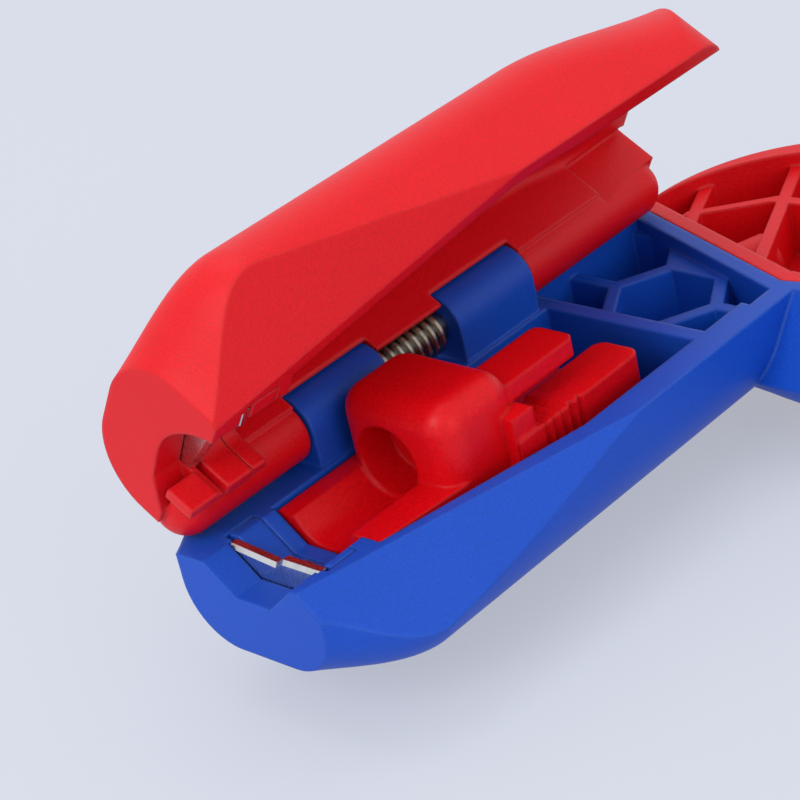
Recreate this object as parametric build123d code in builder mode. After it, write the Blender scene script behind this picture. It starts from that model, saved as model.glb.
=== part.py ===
from build123d import *
import math
import os

# Solar cable stripper with a hinged jaw, in millimetres
# X runs along the cable, from the muzzle at the front to the grip at the back
# Y runs from the grip side to the hinge side, Z points out of the split plane
# The origin is on the cable axis, in the mouth of the length stop's socket

# Cable and stripping
cable_d = 6.4
conductor_d = 3.0
socket_clearance = 0.4
socket_depth = 4.0
muzzle_x = -18.2
split_z = -0.9

# Clearances
part_gap = 0.3
running_gap = 0.05
seat_gap = 0.1
over_cut = 1.0

# Barrel halves
barrel_near = 14.7
barrel_depth = 9.4
jaw_height = 11.8
jaw_far = 10.8
edge_radius = 5.6
muzzle_near = 8.2
muzzle_far = 8.5
muzzle_depth = 8.2
muzzle_radius = 4.6
jaw_muzzle_near = 6.4
jaw_muzzle_far = 9.8
jaw_muzzle_height = 11.4
jaw_muzzle_radius = 6.2
flare_length = 8.6
facet_edge_y = -5.9
facet_plan_angle = 14.0
facet_slope = 1.05
tail_start_x = 28.0
tail_end_x = 48.2
tail_end_y = -9.3
tail_drop = 2.4
tail_radius = 10.4
tail_lean = 7.0
tail_corner = 5.0

# Hinge
hinge_y = 9.4
hinge_z = 2.35
knuckle_r = 3.25
pin_d = 3.0
pin_front_x = -14.0
pin_tail = 2.0
open_angle = 57.0
front_knuckle_end = -2.2
base_knuckle_1_end = 8.3
base_knuckle_2_start = 17.8
base_knuckle_2_end = 28.5
heel_clearance_r = 4.95

# Jaw spring
spring_wire_d = 0.7
spring_coil_d = 4.2
spring_turns = 8

# Cable channel, blades and blade holders
channel_top = 10.4
channel_floor = 4.2
channel_depth = 2.7
jaw_channel_height = 5.2
jaw_ledge_far = 8.4
jaw_ledge_z = 2.35
ledge_slope = 1.0
ledge_rise = 0.6
arch_foot = 1.0
arch_shoulder = 0.5
arch_rise = 2.8
arch_sag = 0.3
arch_end = 1.2
arch_dip = 0.2
blade_x = -14.4
blade_thickness = 1.0
blade_width = 10.8
blade_drop = 3.0
blade_edge_angle = 30.0
blade_bevel = 0.35
blade_meet_gap = 0.15
upper_blade_far_z = 2.7
holder_length = 3.0
holder_near = 6.0
holder_far = 6.4
holder_floor = 2.2
holder_screw_d = 1.6
holder_screw_length = 3.0
holder_head_d = 2.6
holder_head = 0.8

# Slider bay in the lower half
bay_front_x = -9.2
bay_rear_x = 29.1
bay_floor = 2.9
bay_near_front = 7.2
bay_near_rear = 11.6
bay_knee_x = 13.0
lip_z = -4.6
lip_reach = 1.4

# Length stop
stop_length = 9.6
stop_near = 7.8
stop_far = 5.5
stop_top = 6.1
stop_round = 2.6
flange_x = 6.8
flange_near = 9.2
flange_top = 2.3
sled_nose_x = -8.8
sled_rear_x = 24.2
sled_nose_near = 6.8
sled_near = 9.5
sled_top = -1.3
deck_top = -3.9
trough_r = 3.7
prong_end_x = 18.6
prong_near = 7.1
prong_far = -2.4
prong_top = 4.2
prong_thickness = 1.8
prong_round = 0.9
pad_top = 0.2
pad_far = -4.6
pad_round = 1.2
tooth_pitch = 1.15
tooth_depth = 0.5
tooth_count = 5
notch_count = 3

# Detent spring
leaf_thickness = 0.4
leaf_height = 4.0
leaf_length = 6.0
leaf_x = 16.4
leaf_bump = 2.0

# Jaw hollow
jaw_roof = 2.2
jaw_wall = 1.7
hollow_round = 2.0
knuckle_nose_x = -17.6
knuckle_nose_round = 2.4
knuckle_tail_round = 2.7
crease_x = 41.4
crease_depth = 0.5

# Grip
grip_wall = 2.6
grip_floor = 2.4
grip_depth = 15.0
butt_depth = 13.0
scoop_x = 41.0
scoop_drop = 8.0
scoop_end_y = -46.0
rib_drop = 1.4
rib_thickness = 1.3
cell_pitch = 10.4
cell_start = (37.4, -1.9)
cell_rows = (-11, 3)
cell_columns = (-2, 5)
least_cell = 9.0
parting_gap = 0.1
parting_wall = 1.7
inner_wall_inset = 10.5
cross_rib_pitch = 9.6
cross_rib_angle = 24.0
cross_rib_count = 14
grip_screw_d = 2.2
grip_screw_length = 7.0
grip_screw_shares = (0.42, 0.34, 0.72)
grip_head_d = 4.0
grip_head = 1.4
boss_d = 5.4

# Places worked out from the sizes above
socket_r = (cable_d + socket_clearance) / 2
hinge_far = hinge_y + knuckle_r
plate_y = hinge_y - knuckle_r
jaw_split_z = split_z + part_gap
base_bottom = split_z - barrel_depth
bay_floor_z = base_bottom + bay_floor
hinge_axis = Axis((0, hinge_y, hinge_z), (1, 0, 0))
blade_half = blade_thickness / 2
holder_x = blade_x + blade_half
holder_end_x = holder_x + holder_length
holder_middle_x = (holder_x + holder_end_x) / 2
channel_floor_z = split_z - channel_depth
jaw_channel_z = split_z + jaw_channel_height
parting_lean = 20.5
parting_corner = (41.6, -12.6)
parting_foot = (58.0, -100.0)
parting_reach = 30.0
parting_top = (
    parting_corner[0] + parting_reach * math.sin(math.radians(parting_lean)),
    parting_corner[1] + parting_reach * math.cos(math.radians(parting_lean)),
)
leaf_back_y = -bay_near_rear + seat_gap
leaf_crest_y = -sled_near - part_gap
far_out = 90.0
tail_slope = math.tan(math.radians(tail_lean))
jaw_far_end_x = tail_end_x + (hinge_y - tail_end_y) * tail_slope
facet_rise = math.tan(math.radians(facet_plan_angle))

# Jaw stations: place along the tool, near side, far side, height, near and far edge radius
jaw_stations = (
    (muzzle_x, jaw_muzzle_near, jaw_muzzle_far, jaw_muzzle_height, jaw_muzzle_radius, jaw_muzzle_radius),
    (muzzle_x + 0.28 * flare_length, 9.6, 10.2, jaw_height - 0.2, 6.0, 6.0),
    (muzzle_x + 0.58 * flare_length, 12.9, 10.6, jaw_height, 5.8, 5.8),
    (muzzle_x + flare_length, barrel_near, jaw_far, jaw_height, edge_radius, edge_radius),
)
tail_stations = (
    (tail_start_x, barrel_near, jaw_far, jaw_height, edge_radius, edge_radius),
    (tail_start_x + 8, barrel_near, jaw_far, jaw_height - 0.15 * tail_drop, 0.68 * tail_radius, edge_radius),
    (tail_start_x + 14, barrel_near, jaw_far, jaw_height - 0.5 * tail_drop, 0.78 * tail_radius, edge_radius),
    (tail_start_x + 24, barrel_near, jaw_far, jaw_height - tail_drop, 0.84 * tail_radius, edge_radius),
)
# Lower half stations, in the same order
base_stations = (
    (muzzle_x, muzzle_near, muzzle_far, muzzle_depth, muzzle_radius, edge_radius),
    (muzzle_x + 0.28 * flare_length, 10.4, 10.0, barrel_depth - 0.6, 5.0, 5.4),
    (muzzle_x + 0.58 * flare_length, 13.0, 11.6, barrel_depth - 0.2, 5.4, 5.4),
    (muzzle_x + flare_length, barrel_near, hinge_far, barrel_depth, edge_radius, edge_radius),
)

# Grip stations: place along the grip, front edge, back edge, depth and edge radius
grip_stations = (
    (10.4, 40.0, 53.0, barrel_depth - 0.6, 4.0),
    (7.0, 38.0, 63.6, barrel_depth - 0.3, 4.6),
    (0.0, 36.0, 69.6, barrel_depth, 5.2),
    (-14.0, 33.8, 71.2, barrel_depth + 0.6, 5.6),
    (-34.0, 34.8, 71.4, (barrel_depth + 2 * grip_depth) / 3, 6.4),
    (-58.0, 40.6, 73.6, grip_depth, 7.0),
    (-82.0, 46.8, 77.0, (grip_depth + butt_depth) / 2, 6.4),
    (-93.0, 49.6, 76.6, butt_depth - 0.8, 5.6),
    (-96.5, 53.0, 73.0, butt_depth - 3.0, 4.6),
)


def half_section(plane, low, high, start, end, low_radius, high_radius):
    """Section of a half shell: flat at the split plane, rounded away from it."""
    with BuildSketch(plane) as section:
        with BuildLine():
            Polyline((low, start), (high, start), (high, end), (low, end), close=True)
        make_face()
        for place, radius in ((0, low_radius), (-1, high_radius)):
            outer = section.vertices().group_by(Axis.Y)[-1 if end > start else 0].sort_by(Axis.X)
            fillet(outer[place], min(radius, abs(end - start) - seat_gap))
    return section.sketch


def facet_plane(up):
    """Plane of the scooped facet on the near side of the nose, facing outwards."""
    along = Vector(math.cos(math.radians(facet_plan_angle)), -math.sin(math.radians(facet_plan_angle)), 0)
    away = Vector(0, -facet_slope, 1 if up else -1)
    normal = along.cross(away).normalized()
    if normal.Y > 0:
        normal = normal * -1
    corner = Vector(muzzle_x, facet_edge_y, jaw_split_z if up else split_z)
    return Plane(origin=corner, x_dir=along, z_dir=normal)


def station_faces(stations, up):
    """Section faces of a half at a row of stations along the barrel."""
    side = 1 if up else -1
    start = jaw_split_z if up else split_z
    return [
        half_section(
            Plane.YZ.offset(x), -near, far, start, split_z + side * height, near_radius, far_radius,
        ).face()
        for x, near, far, height, near_radius, far_radius in stations
    ]


def barrel_half(up):
    """One half of the barrel with its flared nose and facet, solid inside."""
    nose = station_faces(jaw_stations if up else base_stations, up)
    with BuildPart() as half:
        loft(sections=nose)
        if up:
            extrude(nose[-1], amount=tail_start_x - jaw_stations[-1][0])
            loft(sections=station_faces(tail_stations, up))
        else:
            extrude(nose[-1], amount=parting_top[0] - base_stations[-1][0])
        with BuildSketch(facet_plane(up)):
            Rectangle(2 * far_out, 2 * barrel_depth + jaw_height)
        extrude(amount=barrel_near, mode=Mode.SUBTRACT)
    return half.part


def grip_half():
    """The grip with its finger scoop, solid inside."""
    sections = [
        half_section(Plane.XZ.offset(-y), front, back, split_z, split_z - depth, radius, radius).face()
        for y, front, back, depth, radius in grip_stations
    ]
    top = Vector(scoop_x, parting_corner[1] - seat_gap, split_z)
    end = Vector(grip_stations[4][1], scoop_end_y, split_z)
    low = Vector(grip_stations[3][1], parting_corner[1], split_z - scoop_drop)
    along = (end - top).normalized()
    normal = along.cross(low - top).normalized()
    if normal.X > 0:
        normal = normal * -1
    with BuildPart() as grip:
        loft(sections=sections)
        with BuildSketch(Plane(origin=top, x_dir=along, z_dir=normal)):
            Rectangle(2 * far_out, 2 * grip_depth)
        extrude(amount=grip_depth, mode=Mode.SUBTRACT)
    return grip.part


def behind_parting(shift):
    """Everything behind the line where the two grip mouldings meet, moved by shift."""
    with BuildPart() as behind:
        with BuildSketch(Plane.XY.offset(split_z - far_out)):
            add(parting_plan(shift))
        extrude(amount=2 * far_out)
    return behind.part


def channel(up):
    """Cable channel through the muzzle, open at the split plane."""
    start = jaw_split_z if up else split_z
    half_top = channel_top / 2
    half_floor = channel_floor / 2
    with BuildPart() as groove:
        with BuildSketch(Plane.YZ.offset(muzzle_x)):
            with BuildLine():
                if up:
                    arch = Spline(
                        (-half_top + arch_foot, start), (-half_floor - arch_shoulder, start + arch_rise),
                        (0, jaw_channel_z - arch_sag), (half_floor, jaw_channel_z),
                        (half_top - arch_shoulder, jaw_ledge_z + arch_end), (half_top, jaw_ledge_z),
                    )
                    foot = start - over_cut
                    Polyline(arch @ 1, (half_top, foot), (-half_top + arch_foot, foot), arch @ 0)
                else:
                    Polyline(
                        (-half_top, start + over_cut), (-half_top, start), (-half_floor, channel_floor_z),
                        (half_floor, channel_floor_z), (half_top, start), (half_top, start + over_cut),
                        close=True,
                    )
            make_face()
        extrude(amount=bay_front_x - muzzle_x)
        if up:
            # Relief on the hinge side, down to a ledge on the front knuckle
            with BuildSketch(Plane.YZ.offset(muzzle_x)):
                with BuildLine():
                    Polyline(
                        (half_floor, jaw_channel_z), (half_top, jaw_channel_z - arch_dip),
                        (jaw_ledge_far - ledge_slope, jaw_ledge_z + ledge_rise),
                        (jaw_ledge_far, jaw_ledge_z), (half_floor, jaw_ledge_z), close=True,
                    )
                make_face()
            extrude(amount=blade_x - blade_half - seat_gap - muzzle_x)
    return groove.part


def post(start_x, end_x, radius):
    """Knuckle of the lower half: a round-topped post on the split plane."""
    with BuildPart() as knuckle:
        with BuildSketch(Plane.YZ.offset(start_x)):
            with Locations((hinge_y, (split_z + hinge_z) / 2)):
                Rectangle(2 * radius, hinge_z - split_z)
            with Locations((hinge_y, hinge_z)):
                Circle(radius)
                Circle(pin_d / 2 + running_gap, mode=Mode.SUBTRACT)
        extrude(amount=end_x - start_x)
    return knuckle.part


def pin_bore():
    """Bore for the hinge pin, as long as the pin."""
    with BuildPart() as bore:
        with BuildSketch(Plane.YZ.offset(pin_front_x - seat_gap)):
            with Locations((hinge_y, hinge_z)):
                Circle(pin_d / 2 + running_gap)
        extrude(amount=far_out)
    return bore.part


def grip_depth_at(y):
    """Depth of the grip's back below the split plane at a place along the grip."""
    for above, below in zip(grip_stations, grip_stations[1:]):
        if below[0] <= y <= above[0]:
            share = (above[0] - y) / (above[0] - below[0])
            return above[3] + (below[3] - above[3]) * share
    return barrel_depth


def grip_plan(inset):
    """Plan of the grip's hollow at the split plane, inside walls of a given thickness."""
    front = [(x + inset, y) for y, x, _, _, _ in grip_stations[:-1]]
    back = [(x - inset, y) for y, _, x, _, _ in grip_stations[:-1]]
    with BuildSketch() as plan:
        with BuildLine():
            edge = Spline(*front)
            rear = Spline(*back)
            Line(edge @ 0, rear @ 0)
            Line(edge @ 1, rear @ 1)
        make_face()
        with BuildLine():
            Polyline(
                (scoop_x + inset, parting_corner[1]), (grip_stations[4][1] + inset, scoop_end_y),
                (0, scoop_end_y), (0, parting_corner[1]), close=True,
            )
        make_face(mode=Mode.SUBTRACT)
    return plan.sketch


def parting_plan(shift):
    """Plan of everything behind the line where the two grip mouldings meet."""
    with BuildSketch() as plan:
        with BuildLine():
            Polyline(
                parting_top, parting_corner, parting_foot, (far_out, parting_foot[1]),
                (far_out, parting_top[1]), close=True,
            )
        make_face()
        offset(amount=shift, kind=Kind.INTERSECTION, mode=Mode.REPLACE)
    return plan.sketch


def base_hollow_plan():
    """Plan of the ribbed hollow of the lower half, behind the slider bay."""
    with BuildSketch() as plan:
        add(grip_plan(grip_wall))
        with BuildLine():
            Polyline(
                (bay_rear_x + parting_wall, -bay_near_rear), (parting_corner[0], -bay_near_rear),
                (parting_top[0], hinge_y), (bay_rear_x + parting_wall, hinge_y), close=True,
            )
        make_face()
        with BuildLine():
            Polyline(
                (bay_rear_x + parting_wall, hinge_y), (far_out, hinge_y), (far_out, 2 * hinge_y),
                (bay_rear_x + parting_wall, 2 * hinge_y), close=True,
            )
        make_face(mode=Mode.SUBTRACT)
        add(parting_plan(parting_wall), mode=Mode.SUBTRACT)
    return plan.sketch


def honeycomb_plan(region):
    """Honeycomb cells inside a plan region, in staggered rows, without slivers."""
    row_pitch = cell_pitch * math.sqrt(3) / 2
    centres = [
        (
            cell_start[0] + (column + (0.5 if row % 2 else 0.0)) * cell_pitch,
            cell_start[1] + row * row_pitch,
        )
        for row in range(*cell_rows)
        for column in range(*cell_columns)
    ]
    with BuildSketch() as cells:
        with Locations(*centres):
            RegularPolygon((cell_pitch - rib_thickness) / 2, 6, major_radius=False, rotation=30)
        add(region, mode=Mode.INTERSECT)
    return [cell for cell in cells.sketch.faces() if cell.area > least_cell]


def lattice_plan(region):
    """Cells between the curved rib and the cross ribs of the grip's back."""
    outer = [(back - inner_wall_inset, y) for y, _, back, _, _ in grip_stations[1:-1]]
    inner = [(x - rib_thickness, y) for x, y in outer]
    with BuildSketch() as ribs:
        with BuildLine():
            Polyline(*outer, *reversed(inner), close=True)
        make_face()
        with Locations((grip_stations[4][2], grip_stations[5][0] / 2)):
            with GridLocations(cross_rib_pitch, cross_rib_pitch, 1, cross_rib_count):
                Rectangle(2 * far_out, rib_thickness, rotation=cross_rib_angle)
    with BuildSketch() as cells:
        add(region)
        add(ribs.sketch, mode=Mode.SUBTRACT)
    return [cell for cell in cells.sketch.faces() if cell.area > least_cell / 3]


def hollow_out(region, cells):
    """Solid to cut away: a layer above the ribs and each cell down to its floor."""
    with BuildPart() as hollow:
        with BuildSketch(Plane.XY.offset(split_z)):
            add(region)
        extrude(amount=-rib_drop)
        for cell in cells:
            box = cell.bounding_box()
            depth = min(grip_depth_at(box.min.Y), grip_depth_at(box.max.Y), grip_depth_at(cell.center().Y))
            with BuildSketch(Plane.XY.offset(split_z)):
                add(cell)
            extrude(amount=-(depth - grip_floor))
    return hollow.part


def screw(plane, shaft_d, length, head_d, head, clearance=0.0):
    """Pan-head screw on a plane, its shaft along the plane's normal."""
    with BuildPart() as body:
        with BuildSketch(plane):
            Circle(shaft_d / 2 + clearance)
        extrude(amount=length + clearance)
        with BuildSketch(plane):
            Circle(head_d / 2 + clearance)
        extrude(amount=-head - clearance)
    return body.part


def grip_screw_planes():
    """Seats of the grip screws on the front face of the parting wall."""
    lean = Vector(parting_top[0] - parting_corner[0], parting_top[1] - parting_corner[1], 0)
    foot = Vector(parting_foot[0] - parting_corner[0], parting_foot[1] - parting_corner[1], 0)
    corner = Vector(parting_corner[0], parting_corner[1], split_z - barrel_depth / 2)
    planes = []
    for run, share in zip((lean, foot, foot), grip_screw_shares):
        normal = Vector(abs(run.Y), -run.X if run.Y > 0 else run.X, 0).normalized()
        planes.append(Plane(origin=corner + run * share - normal * parting_wall, z_dir=normal))
    return planes


def tail_x(y):
    """Place of the jaw's rear edge at a distance across the tool."""
    return tail_end_x + (y - tail_end_y) * tail_slope


def rim_near(x):
    """Distance of the facet's rim from the cable axis at a place along the tool."""
    return -facet_edge_y + (x - muzzle_x) * facet_rise


def jaw_hollow():
    """Room in the jaw over the length stop, open at the split plane and at the rear."""
    wide_x = muzzle_x + (barrel_near + facet_edge_y) / facet_rise
    roof_z = jaw_split_z + jaw_height - part_gap - jaw_roof
    stations = [
        (bay_front_x, rim_near(bay_front_x) - jaw_wall, roof_z, hollow_round),
        (wide_x, barrel_near - jaw_wall, roof_z, hollow_round),
    ]
    for x, near, _, height, near_radius, _ in tail_stations:
        stations.append((x, near - jaw_roof, split_z + height - jaw_roof, near_radius - jaw_roof))
    sections = [
        half_section(
            Plane.YZ.offset(x), -near, plate_y, jaw_split_z - over_cut, top, near_radius, hollow_round / 2,
        ).face()
        for x, near, top, near_radius in stations
    ]
    with BuildPart() as hollow:
        loft(sections=sections, ruled=True)
    return hollow.part


def jaw_knuckle(start_x, end_x, round_start, rounding):
    """Knuckle of the jaw with one rounded end."""
    with BuildPart() as knuckle:
        with BuildSketch(Plane.YZ.offset(start_x)):
            with Locations((hinge_y, hinge_z)):
                Circle(knuckle_r - part_gap)
        extrude(amount=end_x - start_x)
        ends = knuckle.edges().filter_by(GeomType.CIRCLE).sort_by(Axis.X)
        fillet(ends[0] if round_start else ends[-1], rounding)
    return knuckle.part


def holder_seat_plan():
    """Plan of a blade holder's seat, open towards the blade."""
    with BuildSketch() as plan:
        with BuildLine():
            Polyline(
                (blade_x, -holder_near - seat_gap), (holder_end_x + seat_gap, -holder_near - seat_gap),
                (holder_end_x + seat_gap, holder_far + seat_gap), (blade_x, holder_far + seat_gap),
                close=True,
            )
        make_face()
    return plan.sketch


def opened(closed):
    """A piece of the jaw, turned from the closed place to the open one."""
    return closed.rotate(hinge_axis, -open_angle)


def blade(edge_z, root_z, far_edge_z):
    """Flat blade with a wide V notch, ground on the face towards the muzzle."""
    side = 1 if root_z > edge_z else -1
    notch_z = side * (conductor_d / 2 + seat_gap)
    notch_half = abs(notch_z - edge_z) / math.tan(math.radians(blade_edge_angle))
    with BuildPart() as plate:
        with BuildSketch(Plane.YZ.offset(blade_x - blade_half)):
            with BuildLine():
                Polyline(
                    (-blade_width / 2, edge_z), (-notch_half, edge_z), (0, notch_z),
                    (blade_width / 2, far_edge_z), (blade_width / 2, root_z), (-blade_width / 2, root_z),
                    close=True,
                )
            make_face()
        extrude(amount=blade_thickness)
        front = plate.edges().group_by(Axis.X)[0]
        ground = [edge for edge in front if abs(edge.center().Z - root_z) > abs(far_edge_z - root_z) / 2]
        chamfer([edge for edge in ground if abs(edge.tangent_at(0.5).Y) > seat_gap], blade_bevel)
    return plate.part


def holder_screw(up, clearance=0.0):
    """Screw of a blade holder, its head let into the floor of the channel."""
    side = 1 if up else -1
    seat_z = (jaw_channel_z if up else channel_floor_z) + side * holder_head
    seat = Plane(origin=(holder_middle_x, 0, seat_z), z_dir=(0, 0, side))
    return screw(seat, holder_screw_d, holder_screw_length, holder_head_d, holder_head, clearance)


def holder(floor_z, up):
    """Insert behind the blade that carries on the cable channel and clamps the blade."""
    start = jaw_split_z if up else split_z
    with BuildPart() as insert:
        with BuildSketch(Plane.XY.offset(start)):
            with BuildLine():
                Polyline(
                    (holder_x + seat_gap, -holder_near), (holder_end_x, -holder_near),
                    (holder_end_x, holder_far), (holder_x + seat_gap, holder_far), close=True,
                )
            make_face()
        extrude(amount=floor_z - start)
        add(channel(up), mode=Mode.SUBTRACT)
        add(holder_screw(up, running_gap), mode=Mode.SUBTRACT)
    return insert.part


os.makedirs("parts", exist_ok=True)

# Lower half: moulding with the muzzle, the slider bay and the grip's front strap
base_region = base_hollow_plan()
with BuildPart() as base_shell:
    add(barrel_half(False))
    add(grip_half())
    add(behind_parting(parting_gap / 2), mode=Mode.SUBTRACT)
    add(post(front_knuckle_end, base_knuckle_1_end, knuckle_r))
    add(post(base_knuckle_2_start, base_knuckle_2_end, knuckle_r))
    add(channel(False), mode=Mode.SUBTRACT)
    # Slider bay, with a groove for the sled under a lip on the hinge side
    with BuildSketch(Plane.XY.offset(split_z)):
        with BuildLine():
            Polyline(
                (bay_front_x, -bay_near_front), (bay_knee_x, -bay_near_rear), (bay_rear_x, -bay_near_rear),
                (bay_rear_x, stop_far + part_gap), (bay_front_x, stop_far + part_gap), close=True,
            )
        make_face()
    extrude(amount=bay_floor_z - split_z, mode=Mode.SUBTRACT)
    with BuildSketch(Plane.XY.offset(bay_floor_z)):
        with BuildLine():
            Polyline(
                (bay_front_x, 0), (bay_rear_x, 0), (bay_rear_x, stop_far + part_gap + lip_reach),
                (bay_front_x, stop_far + part_gap + lip_reach), close=True,
            )
        make_face()
    extrude(amount=lip_z - bay_floor_z, mode=Mode.SUBTRACT)
    # Seats of the blade, its holder and the detent spring
    with BuildSketch(Plane.XY.offset(split_z)):
        with Locations((blade_x, 0)):
            Rectangle(blade_thickness + 2 * seat_gap, blade_width + 2 * seat_gap)
    extrude(amount=-channel_depth - blade_drop - seat_gap, mode=Mode.SUBTRACT)
    with BuildSketch(Plane.XY.offset(split_z)):
        add(holder_seat_plan())
    extrude(amount=-channel_depth - holder_floor - seat_gap, mode=Mode.SUBTRACT)
    add(holder_screw(False, running_gap), mode=Mode.SUBTRACT)
    # Ribs behind the bay and down the front strap
    add(hollow_out(base_region, honeycomb_plan(base_region)), mode=Mode.SUBTRACT)
    for seat in grip_screw_planes():
        add(
            screw(seat, grip_screw_d, grip_screw_length, grip_head_d, grip_head, running_gap),
            mode=Mode.SUBTRACT,
        )
base_shell.part.label = "base_shell"
export_step(base_shell.part, "parts/base_shell.step")

# Back of the grip: second moulding, open to the split plane, with curved and cross ribs
with BuildSketch() as grip_region:
    add(grip_plan(grip_wall))
    add(parting_plan(-parting_wall), mode=Mode.INTERSECT)
with BuildPart() as grip_shell:
    add(grip_half())
    add(behind_parting(-parting_gap / 2), mode=Mode.INTERSECT)
    add(hollow_out(grip_region.sketch, lattice_plan(grip_region.sketch)), mode=Mode.SUBTRACT)
    for seat in grip_screw_planes():
        with BuildSketch(seat.offset(parting_wall + parting_gap / 2)):
            Circle(boss_d / 2)
        extrude(amount=grip_screw_length - parting_wall + seat_gap + rib_thickness)
    for seat in grip_screw_planes():
        add(
            screw(seat, grip_screw_d, grip_screw_length, grip_head_d, grip_head, running_gap),
            mode=Mode.SUBTRACT,
        )
grip_shell.part.label = "grip_shell"
export_step(grip_shell.part, "parts/grip_shell.step")

# Screws that hold the two grip mouldings together
with BuildPart() as grip_screws:
    for seat in grip_screw_planes():
        add(screw(seat, grip_screw_d, grip_screw_length, grip_head_d, grip_head))
grip_screws.part.label = "grip_screws"
export_step(grip_screws.part, "parts/grip_screws.step")

# Jaw: upper half, modelled closed on the lower half and then turned open
with BuildPart() as jaw_closed:
    add(barrel_half(True))
    with BuildSketch(Plane.XY.offset(jaw_split_z - over_cut)) as jaw_plan:
        with BuildLine():
            Polyline(
                (muzzle_x, -barrel_near), (tail_x(-barrel_near), -barrel_near),
                (tail_x(hinge_far), hinge_far), (muzzle_x, hinge_far), close=True,
            )
        make_face()
        fillet(jaw_plan.vertices().sort_by(Axis.X)[-2], tail_corner)
    extrude(amount=2 * jaw_height, mode=Mode.INTERSECT)
    # Room below the plate, where only the knuckles stay
    with BuildSketch(Plane.XY.offset(hinge_z)):
        with Locations((jaw_far_end_x / 2, plate_y + knuckle_r)):
            Rectangle(2 * jaw_far_end_x, 2 * knuckle_r)
    extrude(amount=-knuckle_r - over_cut, mode=Mode.SUBTRACT)
    # Front and rear knuckles
    add(jaw_knuckle(knuckle_nose_x, front_knuckle_end - part_gap, True, knuckle_nose_round))
    add(jaw_knuckle(base_knuckle_2_end + part_gap, jaw_far_end_x, False, knuckle_tail_round))
    # Pockets for the knuckles of the lower half and the spring, with room for their heels
    for start_x, end_x, near_r in (
        (front_knuckle_end, base_knuckle_1_end, knuckle_r),
        (base_knuckle_1_end, base_knuckle_2_start, spring_coil_d / 2 + spring_wire_d / 2),
        (base_knuckle_2_start, base_knuckle_2_end, knuckle_r),
    ):
        with BuildSketch(Plane.YZ.offset(start_x - part_gap)):
            if near_r == knuckle_r:
                with Locations((hinge_y, hinge_z)):
                    Circle(heel_clearance_r)
                with Locations((hinge_y - heel_clearance_r + over_cut, hinge_z)):
                    Rectangle(2 * heel_clearance_r, 2 * heel_clearance_r, mode=Mode.SUBTRACT)
            with Locations((hinge_y, hinge_z)):
                Circle(near_r + part_gap)
        extrude(amount=end_x - start_x + 2 * part_gap, mode=Mode.SUBTRACT)
    add(jaw_hollow(), mode=Mode.SUBTRACT)
    # Shallow wedge behind the crease on the hinge-side wall
    with BuildSketch(Plane.XY.offset(jaw_split_z)):
        with BuildLine():
            Polyline(
                (crease_x, plate_y - over_cut), (crease_x, plate_y + crease_depth),
                (jaw_far_end_x, plate_y), (jaw_far_end_x, plate_y - over_cut), close=True,
            )
        make_face()
    extrude(amount=jaw_height - jaw_roof - hollow_round, mode=Mode.SUBTRACT)
    add(channel(True), mode=Mode.SUBTRACT)
    # Seats of the blade and its holder
    with BuildSketch(Plane.XY.offset(jaw_channel_z + blade_drop + seat_gap)):
        with Locations((blade_x, 0)):
            Rectangle(blade_thickness + 2 * seat_gap, blade_width + 2 * seat_gap)
    extrude(amount=-jaw_height, mode=Mode.SUBTRACT)
    with BuildSketch(Plane.XY.offset(jaw_channel_z + holder_floor + seat_gap)):
        add(holder_seat_plan())
    extrude(amount=-jaw_height, mode=Mode.SUBTRACT)
    add(holder_screw(True, running_gap), mode=Mode.SUBTRACT)
    add(pin_bore(), mode=Mode.SUBTRACT)

with BuildPart() as jaw_shell:
    add(opened(jaw_closed.part))
jaw_shell.part.label = "jaw_shell"
export_step(jaw_shell.part, "parts/jaw_shell.step")

# Hinge pin, in the bores of all four knuckles
with BuildPart() as hinge_pin:
    with BuildSketch(Plane.YZ.offset(pin_front_x)):
        with Locations((hinge_y, hinge_z)):
            Circle(pin_d / 2)
    extrude(amount=jaw_far_end_x - pin_tail - pin_front_x)
    chamfer(hinge_pin.edges().filter_by(GeomType.CIRCLE), pin_d / 10)
hinge_pin.part.label = "hinge_pin"
export_step(hinge_pin.part, "parts/hinge_pin.step")

# Spring that holds the jaw open, wound round the pin between the middle knuckles
spring_room = base_knuckle_2_start - base_knuckle_1_end - 2 * part_gap - spring_wire_d
with BuildPart() as jaw_spring:
    with BuildLine():
        coil = Helix(
            pitch=spring_room / spring_turns, height=spring_room, radius=spring_coil_d / 2,
            center=(base_knuckle_1_end + part_gap + spring_wire_d / 2, hinge_y, hinge_z), direction=(1, 0, 0),
        )
    with BuildSketch(Plane(origin=coil @ 0, z_dir=coil % 0)):
        RegularPolygon(spring_wire_d / 2, 6)
    sweep(is_frenet=True)
jaw_spring.part.label = "jaw_spring"
export_step(jaw_spring.part, "parts/jaw_spring.step")

# Blades, holders and holder screws of the two halves
with BuildPart() as lower_blade:
    add(blade(split_z - blade_meet_gap, channel_floor_z - blade_drop, split_z - blade_meet_gap))
lower_blade.part.label = "lower_blade"
export_step(lower_blade.part, "parts/lower_blade.step")

with BuildPart() as upper_blade:
    add(opened(blade(jaw_split_z + blade_meet_gap, jaw_channel_z + blade_drop, upper_blade_far_z)))
upper_blade.part.label = "upper_blade"
export_step(upper_blade.part, "parts/upper_blade.step")

with BuildPart() as lower_blade_holder:
    add(holder(channel_floor_z - holder_floor, False))
lower_blade_holder.part.label = "lower_blade_holder"
export_step(lower_blade_holder.part, "parts/lower_blade_holder.step")

with BuildPart() as upper_blade_holder:
    add(opened(holder(jaw_channel_z + holder_floor, True)))
upper_blade_holder.part.label = "upper_blade_holder"
export_step(upper_blade_holder.part, "parts/upper_blade_holder.step")

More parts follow.
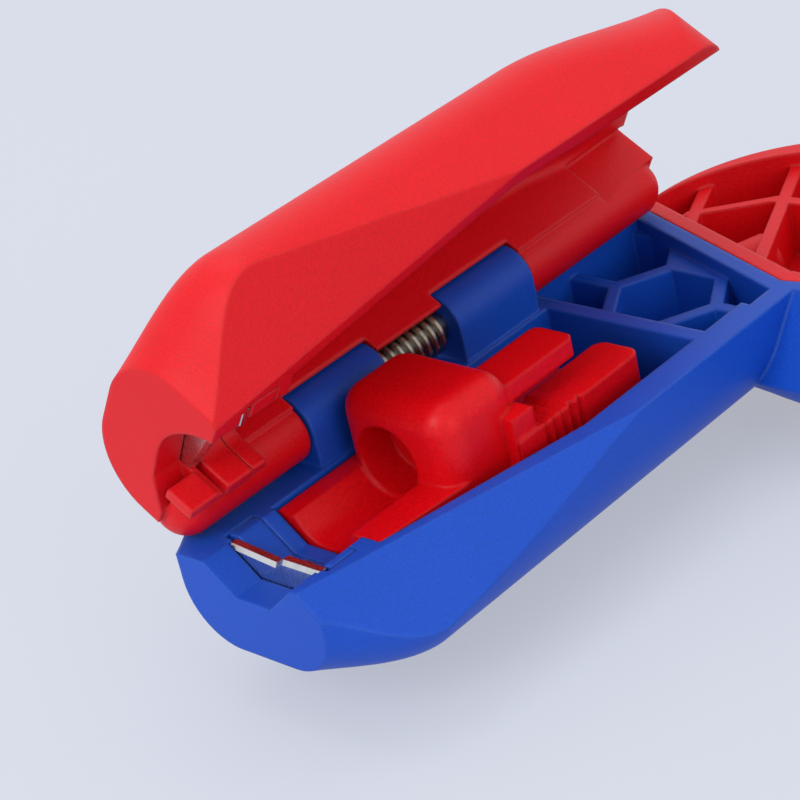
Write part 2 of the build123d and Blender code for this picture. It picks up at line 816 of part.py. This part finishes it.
with BuildPart() as lower_holder_screw:
    add(holder_screw(False))
lower_holder_screw.part.label = "lower_holder_screw"
export_step(lower_holder_screw.part, "parts/lower_holder_screw.step")

with BuildPart() as upper_holder_screw:
    add(opened(holder_screw(True)))
upper_holder_screw.part.label = "upper_holder_screw"
export_step(upper_holder_screw.part, "parts/upper_holder_screw.step")

# Length stop: block with the cable socket, on a sled with detent teeth
sled_floor_z = bay_floor_z + part_gap
with BuildPart() as length_stop:
    # Block, with large rounded upper edges
    with BuildSketch(Plane.YZ):
        with BuildLine():
            Polyline(
                (-stop_near, sled_floor_z), (stop_far, sled_floor_z), (stop_far, stop_top),
                (-stop_near, stop_top), close=True,
            )
        make_face()
    extrude(amount=stop_length)
    upper = length_stop.edges().group_by(Axis.Z)[-1]
    upright = length_stop.edges().filter_by(Axis.Z)
    fillet(upper + upright, stop_round)
    # Flange on the near side, level with the teeth
    with BuildSketch(Plane.XY.offset(sled_floor_z)):
        with BuildLine():
            Polyline(
                (flange_x, -flange_near), (stop_length, -flange_near), (stop_length, 0),
                (flange_x, 0), close=True,
            )
        make_face()
    extrude(amount=flange_top - sled_floor_z)
    # Sled: nose with the cable trough, deck, and guide flange under the lip
    with BuildSketch(Plane.XY.offset(sled_floor_z)):
        with BuildLine():
            Polyline(
                (sled_nose_x, -sled_nose_near), (stop_round, -stop_near), (stop_round, stop_far),
                (sled_nose_x, stop_far), close=True,
            )
        make_face()
    extrude(amount=sled_top - sled_floor_z)
    with BuildSketch(Plane.XY.offset(sled_floor_z)):
        with BuildLine():
            Polyline(
                (stop_round, -stop_near), (stop_length, -sled_near), (sled_rear_x, -sled_near),
                (sled_rear_x, stop_far), (stop_round, stop_far), close=True,
            )
        make_face()
    extrude(amount=deck_top - sled_floor_z)
    with BuildSketch(Plane.YZ):
        Circle(trough_r)
    extrude(amount=sled_nose_x, mode=Mode.SUBTRACT)
    with BuildSketch(Plane.XY.offset(sled_floor_z)):
        with BuildLine():
            Polyline(
                (0, 0), (sled_rear_x, 0), (sled_rear_x, stop_far + lip_reach),
                (0, stop_far + lip_reach), close=True,
            )
        make_face()
    extrude(amount=lip_z - part_gap - sled_floor_z)
    # Toothed pad behind the block
    with BuildSketch(Plane.XY.offset(sled_floor_z)) as pad:
        with BuildLine():
            Polyline(
                (stop_length - stop_round, -sled_near), (sled_rear_x, -sled_near), (sled_rear_x, pad_far),
                (stop_length - stop_round, pad_far), close=True,
            )
        make_face()
        fillet(pad.vertices().group_by(Axis.X)[-1], pad_round)
    extrude(amount=pad_top - sled_floor_z)
    # Prong behind the block, above the recess
    with BuildSketch(Plane.XY.offset(prong_top)) as prong:
        with BuildLine():
            Polyline(
                (stop_length - stop_round, -prong_near), (prong_end_x, -prong_near), (prong_end_x, prong_far),
                (stop_length - stop_round, prong_far), close=True,
            )
        make_face()
        fillet(prong.vertices().group_by(Axis.X)[-1], prong_round)
    extrude(amount=-prong_thickness)
    # Detent teeth on the near side and V notches across the recess
    tooth_places = [stop_length + tooth_pitch * (index + 1) for index in range(tooth_count)]
    with BuildSketch(Plane.XY.offset(sled_floor_z)):
        with Locations(*[(place, -sled_near) for place in tooth_places]):
            RegularPolygon(tooth_depth, 4, rotation=0)
    extrude(amount=pad_top - sled_floor_z, mode=Mode.SUBTRACT)
    with BuildSketch(Plane.XZ.offset(sled_near)):
        with Locations(*[(place, pad_top) for place in tooth_places[:notch_count]]):
            RegularPolygon(tooth_depth, 4, rotation=0)
    extrude(amount=pad_far - sled_near, mode=Mode.SUBTRACT)
    # Cable socket
    with BuildSketch(Plane.YZ):
        Circle(socket_r)
    extrude(amount=socket_depth, mode=Mode.SUBTRACT)
length_stop.part.label = "length_stop"
export_step(length_stop.part, "parts/length_stop.step")

# Detent spring on the near wall of the bay, its crest just clear of the teeth
with BuildPart() as detent_spring:
    with BuildSketch(Plane.XY.offset(bay_floor_z + part_gap)):
        with BuildLine():
            Polyline(
                (leaf_x - leaf_length / 2, leaf_back_y), (leaf_x - leaf_bump, leaf_back_y),
                (leaf_x, leaf_crest_y - leaf_thickness), (leaf_x + leaf_bump, leaf_back_y),
                (leaf_x + leaf_length / 2, leaf_back_y),
                (leaf_x + leaf_length / 2, leaf_back_y + leaf_thickness),
                (leaf_x + leaf_bump, leaf_back_y + leaf_thickness), (leaf_x, leaf_crest_y),
                (leaf_x - leaf_bump, leaf_back_y + leaf_thickness),
                (leaf_x - leaf_length / 2, leaf_back_y + leaf_thickness), close=True,
            )
        make_face()
    extrude(amount=leaf_height)
detent_spring.part.label = "detent_spring"
export_step(detent_spring.part, "parts/detent_spring.step")
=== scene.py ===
"""Looks of a hand stripper for solar cable: moulded shells, blades, spring and slider."""
import logging
import math
from dataclasses import dataclass, field
from enum import Enum

import bpy
from mathutils import Matrix, Vector


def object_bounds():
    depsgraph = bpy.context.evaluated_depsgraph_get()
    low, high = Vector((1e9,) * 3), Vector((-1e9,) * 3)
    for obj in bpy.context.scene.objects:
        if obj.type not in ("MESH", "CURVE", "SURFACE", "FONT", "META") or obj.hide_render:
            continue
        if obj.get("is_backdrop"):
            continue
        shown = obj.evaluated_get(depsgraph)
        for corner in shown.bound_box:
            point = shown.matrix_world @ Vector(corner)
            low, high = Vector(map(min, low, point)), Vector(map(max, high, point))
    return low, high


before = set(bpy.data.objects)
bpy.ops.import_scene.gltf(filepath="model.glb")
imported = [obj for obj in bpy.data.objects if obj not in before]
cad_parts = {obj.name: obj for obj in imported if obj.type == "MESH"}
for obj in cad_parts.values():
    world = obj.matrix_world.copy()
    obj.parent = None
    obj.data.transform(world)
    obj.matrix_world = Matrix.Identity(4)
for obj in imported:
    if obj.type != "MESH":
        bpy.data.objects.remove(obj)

log = logging.getLogger("cable_stripper")

MM = 0.001
IMAGE_WIDTH = 800
SENSOR_WIDTH = 36.0
CLIP_NEAR = 0.01
CLIP_FAR = 20.0
BEVEL_SAMPLES = 6

# Constants of the sRGB curve
SRGB_KNEE = 0.04045
SRGB_SLOPE = 12.92
SRGB_OFFSET = 0.055
SRGB_GAMMA = 2.4

# A whole range, and the middle part of a noise's range that a pattern uses
WHOLE = (0.0, 1.0)
GRAIN_SPAN = (0.25, 0.75)
SPECK_SPAN = (0.3, 0.7)
CLOUD_SPAN = (0.35, 0.6)
STAIN_SPAN = (0.42, 0.68)
# Cosine between a face and its rounded edge, from flat to fully rounded
EDGE_SPAN = (0.995, 0.86)


class EdgeHighlight(Enum):
    """Strength of a painted highlight in a paler colour along the edges of a moulding, which also lowers
    their roughness.
    """

    NEW = 0.0
    HANDLED = 0.35


class Grind(Enum):
    """Direction of the marks that the last working left on a metal."""

    ALONG_X = (0.04, 1.0, 1.0)
    ALONG_Z = (1.0, 1.0, 0.04)
    NONE = (1.0, 1.0, 1.0)


def linear(hex_colour: str) -> tuple[float, float, float, float]:
    """Turns an sRGB hex colour into Blender's linear colour.

    Args:
        hex_colour: colour such as "#1246B4".

    Returns:
        Linear red, green, blue and an alpha of 1.
    """
    values = [int(hex_colour[place:place + 2], 16) / 255 for place in (1, 3, 5)]
    channels = [
        v / SRGB_SLOPE if v <= SRGB_KNEE else ((v + SRGB_OFFSET) / (1 + SRGB_OFFSET)) ** SRGB_GAMMA
        for v in values
    ]
    return (*channels, 1.0)


def per_mm(size_mm: float) -> float:
    """Turns a pattern's real size into a texture scale.

    Args:
        size_mm: size of one repeat in millimetres.

    Returns:
        Repeats per metre.
    """
    return 1 / (size_mm * MM)


def add_node(
    tree: bpy.types.NodeTree,
    kind: str,
    settings: dict[str, object] | None = None,
    inputs: dict[str | int, object] | None = None,
) -> bpy.types.Node:
    """Adds a shader node, sets it and links it.

    Args:
        tree: node tree that takes the node.
        kind: Blender's name of the node type, without "ShaderNode".
        settings: attributes of the node and their values.
        inputs: input sockets by name or place, each with a value or an output socket to link.

    Returns:
        The new node.
    """
    node = tree.nodes.new("ShaderNode" + kind)
    for name, value in (settings or {}).items():
        setattr(node, name, value)
    for name, value in (inputs or {}).items():
        if isinstance(value, bpy.types.NodeSocket):
            tree.links.new(value, node.inputs[name])
        else:
            node.inputs[name].default_value = value
    return node


def noise(
    tree: bpy.types.NodeTree,
    place: bpy.types.NodeSocket,
    size_mm: float,
    detail: float,
    roughness: float = 0.5,
) -> bpy.types.NodeSocket:
    """Adds a noise with grains of a real size.

    Args:
        tree: node tree that takes the noise.
        place: coordinates that it follows.
        size_mm: size of its grains in millimetres.
        detail: number of finer layers on top of the first.
        roughness: strength of each finer layer.

    Returns:
        The noise's value.
    """
    inputs = {"Vector": place, "Scale": per_mm(size_mm), "Detail": detail, "Roughness": roughness}
    return add_node(tree, "TexNoise", None, inputs).outputs["Fac"]


def remap(
    tree: bpy.types.NodeTree,
    value: bpy.types.NodeSocket,
    span: tuple[float, float],
    onto: tuple[float, float] = WHOLE,
) -> bpy.types.NodeSocket:
    """Adds a node that maps one span of a value onto another.

    Args:
        tree: node tree that takes the node.
        value: the value to map.
        span: start and end of the span that is used.
        onto: results at that start and end.

    Returns:
        The mapped value.
    """
    ends = {"From Min": span[0], "From Max": span[1], "To Min": onto[0], "To Max": onto[1]}
    return add_node(tree, "MapRange", None, {"Value": value, **ends}).outputs["Result"]


def rounded(tree: bpy.types.NodeTree, radius_mm: float) -> bpy.types.NodeSocket:
    """Adds a small radius to every edge.

    Args:
        tree: node tree that takes the node.
        radius_mm: radius in millimetres.

    Returns:
        The normal with the edges rounded.
    """
    return add_node(
        tree, "Bevel", {"samples": BEVEL_SAMPLES}, {"Radius": radius_mm * MM},
    ).outputs["Normal"]


def relief(
    tree: bpy.types.NodeTree, height: bpy.types.NodeSocket, depth_mm: float, normal: bpy.types.NodeSocket,
) -> bpy.types.NodeSocket:
    """Adds a fine relief to a surface.

    Args:
        tree: node tree that takes the node.
        height: pattern of the relief.
        depth_mm: its full depth in millimetres.
        normal: the surface's normal without it.

    Returns:
        The normal with the relief.
    """
    inputs = {"Height": height, "Distance": depth_mm * MM, "Strength": 1.0, "Normal": normal}
    return add_node(tree, "Bump", None, inputs).outputs["Normal"]


def new_tree(name: str) -> tuple[bpy.types.Material, bpy.types.NodeTree]:
    """Makes an empty node material.

    Args:
        name: name of the finish.

    Returns:
        The material and its node tree.
    """
    material = bpy.data.materials.new(name)
    material.use_nodes = True
    material.node_tree.nodes.clear()
    return material, material.node_tree


@dataclass(frozen=True)
class MouldedPlastic:
    """Injection-moulded plastic from a spark-eroded mould.

    The mould's fine craters leave a satin skin that scatters the light in small
    grains. Edges are a little smoother, and carry a painted highlight: a paler colour that stands in for the
    light they catch.
    """

    name: str
    colour: str
    clouded: str
    # Paler colour painted along the edges as a highlight
    edge_highlight_colour: str
    roughness: float
    ior: float
    # Strength of the painted edge highlight, which also lowers the edges' roughness
    edge_highlight_level: EdgeHighlight
    grain_mm: float
    grain_depth_mm: float
    cloud_mm: float = 14.0
    sink_mm: float = 9.0
    sink_depth_mm: float = 0.02
    edge_mm: float = 0.5
    gloss: float = 0.25
    grain_detail: float = 2.5
    grain_roughness: float = 0.62
    cloud_detail: float = 3.0
    # Range over which the cloud noise breaks up the painted edge highlight
    highlight_breakup: tuple[float, float] = (0.3, 1.0)
    speck_tones: tuple[float, float] = (0.86, 1.1)
    roughness_spread: tuple[float, float] = (-0.06, 0.1)
    polish: float = 0.7

    def build(self) -> bpy.types.Material:
        """Makes the material.

        Returns:
            The finished node material.
        """
        material, tree = new_tree(self.name)
        place = add_node(tree, "TexCoord").outputs["Object"]
        # Craters of the spark-eroded mould, drawn a little coarser than they are so that they show
        grain = noise(tree, place, self.grain_mm, self.grain_detail, self.grain_roughness)
        cloud = noise(tree, place, self.cloud_mm, self.cloud_detail)
        sink = noise(tree, place, self.sink_mm, 0.0)
        # Small moulded radius on every edge, and where it lies
        round_edge = rounded(tree, self.edge_mm)
        flat = add_node(tree, "NewGeometry").outputs["Normal"]
        facing = add_node(
            tree, "VectorMath", {"operation": "DOT_PRODUCT"}, {0: round_edge, 1: flat},
        ).outputs["Value"]
        edge = remap(tree, facing, EDGE_SPAN)
        # Painted highlight: how strongly the rounded edges are mixed towards the paler colour, broken up by
        # the cloud noise
        edge_highlight_strength = add_node(
            tree, "Math", {"operation": "MULTIPLY", "use_clamp": True}, {0: edge, 1: self.edge_highlight_level.value},
        ).outputs["Value"]
        broken = remap(tree, cloud, CLOUD_SPAN, self.highlight_breakup)
        highlight_mask = add_node(tree, "Math", {"operation": "MULTIPLY"}, {0: edge_highlight_strength, 1: broken}).outputs["Value"]
        # Pigment that is never quite even, then a painted highlight: the edges mixed towards a paler colour
        tone = add_node(
            tree, "Mix", {"data_type": "RGBA"},
            {"Factor": cloud, "A": linear(self.clouded), "B": linear(self.colour)},
        )
        speck = remap(tree, grain, SPECK_SPAN, self.speck_tones)
        speckled = add_node(
            tree, "VectorMath", {"operation": "SCALE"}, {0: tone.outputs["Result"], "Scale": speck},
        ).outputs["Vector"]
        colour = add_node(
            tree, "Mix", {"data_type": "RGBA"},
            {"Factor": highlight_mask, "A": speckled, "B": linear(self.edge_highlight_colour)},
        )
        smoothest, roughest = (self.roughness + spread for spread in self.roughness_spread)
        rough = remap(tree, grain, GRAIN_SPAN, (smoothest, roughest))
        polished = add_node(
            tree, "Mix", {"data_type": "FLOAT"},
            {"Factor": highlight_mask, "A": rough, "B": self.roughness * self.polish},
        )
        sunk = relief(tree, sink, self.sink_depth_mm, round_edge)
        bump = relief(tree, grain, self.grain_depth_mm, sunk)
        shader = add_node(
            tree, "BsdfPrincipled", None,
            {
                "Base Color": colour.outputs["Result"], "Roughness": polished.outputs["Result"],
                "Normal": bump, "IOR": self.ior, "Specular IOR Level": self.gloss,
            },
        )
        add_node(tree, "OutputMaterial", None, {"Surface": shader.outputs["BSDF"]})
        return material


@dataclass(frozen=True)
class WorkedSteel:
    """Bare or plated steel with the marks of its last working."""

    name: str
    colour: str
    stained: str
    roughness: float
    grind: Grind
    mark_mm: float
    mark_depth_mm: float
    stain_mm: float = 1.6
    edge_mm: float = 0.06
    mark_detail: float = 4.0
    mark_roughness: float = 0.7
    stain_detail: float = 3.0
    stain_roughness: float = 0.55
    roughness_factors: tuple[float, float] = (0.7, 1.4)

    def build(self) -> bpy.types.Material:
        """Makes the material.

        Returns:
            The finished node material.
        """
        material, tree = new_tree(self.name)
        place = add_node(tree, "TexCoord").outputs["Object"]
        drawn = add_node(
            tree, "Mapping", None, {"Vector": place, "Scale": self.grind.value},
        ).outputs["Vector"]
        # Grinding or drawing lines, long along the stroke and fine across it
        marks = noise(tree, drawn, self.mark_mm, self.mark_detail, self.mark_roughness)
        stain = noise(tree, place, self.stain_mm, self.stain_detail, self.stain_roughness)
        patch = remap(tree, stain, STAIN_SPAN)
        tone = add_node(
            tree, "Mix", {"data_type": "RGBA"},
            {"Factor": patch, "A": linear(self.colour), "B": linear(self.stained)},
        )
        smoothest, roughest = (self.roughness * factor for factor in self.roughness_factors)
        rough = remap(tree, marks, GRAIN_SPAN, (smoothest, roughest))
        bump = relief(tree, marks, self.mark_depth_mm, rounded(tree, self.edge_mm))
        shader = add_node(
            tree, "BsdfPrincipled", None,
            {"Base Color": tone.outputs["Result"], "Metallic": 1.0, "Roughness": rough, "Normal": bump},
        )
        add_node(tree, "OutputMaterial", None, {"Surface": shader.outputs["BSDF"]})
        return material


# Moulded ABS of the lower half: satin blue, grains from the spark-eroded mould, a painted highlight in paler
# blue along the edges
BLUE_ABS = MouldedPlastic(
    name="moulded_abs_blue", colour="#0F4DBE", clouded="#0D45B0", edge_highlight_colour="#3C72D8", roughness=0.44, ior=1.54,
    edge_highlight_level=EdgeHighlight.HANDLED, grain_mm=0.2, grain_depth_mm=0.035,
)
# Moulded ABS of the jaw and the grip's back: satin signal red, a painted highlight in paler red along the
# edges
RED_ABS = MouldedPlastic(
    name="moulded_abs_red", colour="#DE0412", clouded="#D20210", edge_highlight_colour="#EE4A4A", roughness=0.44, ior=1.54,
    edge_highlight_level=EdgeHighlight.HANDLED, grain_mm=0.2, grain_depth_mm=0.035,
)
# Moulded acetal of the slider: a smoother, slipperier red
RED_ACETAL = MouldedPlastic(
    name="moulded_acetal_red", colour="#DC0612", clouded="#D0040F", edge_highlight_colour="#F05A50",
    roughness=0.36, ior=1.48, edge_highlight_level=EdgeHighlight.NEW, grain_mm=0.3, grain_depth_mm=0.015,
)
# Hardened blade steel, surface-ground: bright, with fine lines across the edge
BLADE_STEEL = WorkedSteel(
    name="ground_blade_steel", colour="#D6D9DA", stained="#C6CACC", roughness=0.24, grind=Grind.ALONG_Z,
    mark_mm=0.12, mark_depth_mm=0.004,
)
# Drawn wire of the jaw spring, browned by its tempering
SPRING_STEEL = WorkedSteel(
    name="drawn_spring_steel", colour="#A69C8C", stained="#8C7F6C", roughness=0.3, grind=Grind.ALONG_X,
    mark_mm=0.1, mark_depth_mm=0.003,
)
# Drawn and cut rod of the hinge pin
PIN_STEEL = WorkedSteel(
    name="drawn_steel_rod", colour="#A3A6A8", stained="#8E9294", roughness=0.34, grind=Grind.ALONG_X,
    mark_mm=0.14, mark_depth_mm=0.005,
)
# Zinc-plated screws: slightly milky and blue-grey
ZINC_STEEL = WorkedSteel(
    name="zinc_plated_steel", colour="#AEB4B8", stained="#989EA2", roughness=0.38, grind=Grind.NONE,
    mark_mm=0.25, mark_depth_mm=0.004,
)


@dataclass
class SubAssembly:
    """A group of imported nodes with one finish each."""

    title: str
    finishes: dict[str, MouldedPlastic | WorkedSteel]

    def build(self, shop: "FinishShop") -> None:
        """Dresses every node of the group.

        Args:
            shop: maker of the materials, one for each finish.
        """
        for node, finish in self.finishes.items():
            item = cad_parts[node]
            item.data.materials.clear()
            item.data.materials.append(shop.material(finish))
            log.info("%s: %s in %s", self.title, node, finish.name)


@dataclass
class FinishShop:
    """Makes each finish once and hands out its material."""

    made: dict[str, bpy.types.Material] = field(default_factory=dict)

    def material(self, finish: MouldedPlastic | WorkedSteel) -> bpy.types.Material:
        """Gives a finish's material, made on first use.

        Args:
            finish: the finish asked for.

        Returns:
            Its material.
        """
        if finish.name not in self.made:
            self.made[finish.name] = finish.build()
        return self.made[finish.name]


@dataclass
class LowerHalf(SubAssembly):
    """Blue lower moulding, its blade, blade holder, screws and the detent spring."""

    title: str = "lower half"
    finishes: dict[str, MouldedPlastic | WorkedSteel] = field(default_factory=lambda: {
        "base_shell": BLUE_ABS, "lower_blade_holder": BLUE_ABS, "lower_blade": BLADE_STEEL,
        "lower_holder_screw": ZINC_STEEL, "detent_spring": SPRING_STEEL,
    })


@dataclass
class GripBack(SubAssembly):
    """Red back of the grip and the screws that hold it."""

    title: str = "grip back"
    finishes: dict[str, MouldedPlastic | WorkedSteel] = field(default_factory=lambda: {
        "grip_shell": RED_ABS, "grip_screws": ZINC_STEEL,
    })


@dataclass
class Jaw(SubAssembly):
    """Red jaw with its blade and blade holder."""

    title: str = "jaw"
    finishes: dict[str, MouldedPlastic | WorkedSteel] = field(default_factory=lambda: {
        "jaw_shell": RED_ABS, "upper_blade_holder": RED_ABS, "upper_blade": BLADE_STEEL,
        "upper_holder_screw": ZINC_STEEL,
    })


@dataclass
class Hinge(SubAssembly):
    """Steel pin and the coil spring that opens the jaw."""

    title: str = "hinge"
    finishes: dict[str, MouldedPlastic | WorkedSteel] = field(default_factory=lambda: {
        "hinge_pin": PIN_STEEL, "jaw_spring": SPRING_STEEL,
    })


@dataclass
class LengthStop(SubAssembly):
    """Red slider with the cable socket."""

    title: str = "length stop"
    finishes: dict[str, MouldedPlastic | WorkedSteel] = field(default_factory=lambda: {
        "length_stop": RED_ACETAL,
    })


@dataclass
class PhotoCamera:
    """Camera at the photograph's viewing angle, fitted to the object in millimetres."""

    place_mm: tuple[float, float, float] = (-126.1, -144.3, 106.8)
    right: tuple[float, float, float] = (0.655, -0.728, -0.2)
    up: tuple[float, float, float] = (0.472, 0.188, 0.861)
    focal_px: float = 2529.0

    def build(self) -> None:
        """Makes the camera and gives it to the scene."""
        data = bpy.data.cameras.new("photo_camera")
        data.sensor_width = SENSOR_WIDTH
        data.lens = self.focal_px / IMAGE_WIDTH * SENSOR_WIDTH
        data.clip_start = CLIP_NEAR
        data.clip_end = CLIP_FAR
        camera = bpy.data.objects.new("photo_camera", data)
        bpy.context.scene.collection.objects.link(camera)
        right = Vector(self.right).normalized()
        up = Vector(self.up)
        up = (up - right * up.dot(right)).normalized()
        back = right.cross(up)
        camera.matrix_world = Matrix.LocRotScale(
            Vector(self.place_mm) * MM, Matrix((right, up, back)).transposed(), None,
        )
        bpy.context.scene.camera = camera
        log.info("camera: lens %.1f mm", data.lens)


@dataclass
class Studio:
    """Pale floor, pale surroundings and plain soft lamps."""

    floor_side: float = 8.0
    floor_gap_mm: float = 0.02
    floor_colour: str = "#CBCFDA"
    backdrop: str = "#D6DAE4"
    backdrop_share: float = 0.6
    sky_colour: str = "#F4F6FB"
    world_strength: float = 0.95
    aim: tuple[float, float, float] = (0.015, 0.0, 0.005)
    lamps: tuple[tuple[str, tuple[float, float, float], float, float], ...] = (
        ("front_lamp", (-0.62, -0.02, 0.5), 0.42, 2.3),
        ("top_lamp", (0.05, 0.25, 0.75), 0.5, 1.3),
        ("side_lamp", (-0.1, -0.75, 0.3), 0.5, 0.9),
    )

    def build(self) -> None:
        """Makes the floor, the world and the lamps."""
        self.lay_floor()
        self.light_world()
        target = Vector(self.aim)
        for name, place, side, power in self.lamps:
            self.hang_lamp(name, Vector(place), target, side, power)

    def lay_floor(self) -> None:
        """Lays a plane under the object, with its background colour."""
        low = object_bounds()[0].z - self.floor_gap_mm * MM
        half = self.floor_side / 2
        mesh = bpy.data.meshes.new("studio_floor")
        corners = [(-half, -half, low), (half, -half, low), (half, half, low), (-half, half, low)]
        mesh.from_pydata(corners, [], [(0, 1, 2, 3)])
        floor = bpy.data.objects.new("studio_floor", mesh)
        bpy.context.scene.collection.objects.link(floor)
        material, tree = new_tree("painted_board")
        paint = add_node(
            tree, "BsdfDiffuse", None, {"Color": linear(self.floor_colour)},
        ).outputs["BSDF"]
        glow = add_node(
            tree, "Emission", None, {"Color": linear(self.backdrop), "Strength": 1.0},
        ).outputs["Emission"]
        path = add_node(tree, "LightPath")
        seen = add_node(
            tree, "Math", {"operation": "MAXIMUM"},
            {0: path.outputs["Is Camera Ray"], 1: path.outputs["Is Glossy Ray"]},
        ).outputs["Value"]
        share = add_node(
            tree, "Math", {"operation": "MULTIPLY"}, {0: seen, 1: self.backdrop_share},
        ).outputs["Value"]
        mixed = add_node(tree, "MixShader", None, {0: share, 1: paint, 2: glow}).outputs["Shader"]
        add_node(tree, "OutputMaterial", None, {"Surface": mixed})
        mesh.materials.append(material)
        floor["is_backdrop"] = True

    def light_world(self) -> None:
        """Surrounds the object with pale light, and shows the backdrop's colour."""
        world = bpy.data.worlds.new("studio_world")
        bpy.context.scene.world = world
        world.use_nodes = True
        tree = world.node_tree
        tree.nodes.clear()
        path = add_node(tree, "LightPath")
        seen = add_node(
            tree, "Math", {"operation": "MAXIMUM"},
            {0: path.outputs["Is Camera Ray"], 1: path.outputs["Is Transmission Ray"]},
        ).outputs["Value"]
        soft = add_node(
            tree, "Background", None, {"Color": linear(self.sky_colour), "Strength": self.world_strength},
        ).outputs["Background"]
        shown = add_node(
            tree, "Background", None, {"Color": linear(self.backdrop), "Strength": 1.0},
        ).outputs["Background"]
        mixed = add_node(tree, "MixShader", None, {0: seen, 1: soft, 2: shown}).outputs["Shader"]
        add_node(tree, "OutputWorld", None, {"Surface": mixed})

    def hang_lamp(self, name: str, place: Vector, target: Vector, side: float, power: float) -> None:
        """Hangs a square soft lamp that faces the object.

        Args:
            name: name of the lamp.
            place: its place in metres.
            target: point that it faces.
            side: its side in metres.
            power: its power in watts.
        """
        data = bpy.data.lights.new(name, "AREA")
        data.shape = "SQUARE"
        data.size = side
        data.energy = power
        lamp = bpy.data.objects.new(name, data)
        bpy.context.scene.collection.objects.link(lamp)
        lamp.location = place
        lamp.rotation_mode = "QUATERNION"
        lamp.rotation_quaternion = (target - place).to_track_quat("-Z", "Y")


def corners(box: tuple[Vector, Vector]) -> list[list[float]]:
    """Writes a box as plain lists.

    Args:
        box: its lowest and highest corner.

    Returns:
        The two corners, each as three numbers.
    """
    return [[float(value) for value in corner] for corner in box]


def main() -> None:
    """Builds the camera, the studio and each sub-assembly in order."""
    logging.basicConfig(level=logging.INFO, format="%(name)s: %(message)s")
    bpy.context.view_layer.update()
    bpy.context.scene.view_settings.view_transform = "Standard"
    PhotoCamera().build()
    Studio().build()
    shop = FinishShop()
    for group in (LowerHalf(), GripBack(), Jaw(), Hinge(), LengthStop()):
        group.build(shop)


if __name__ == "__main__":
    main()
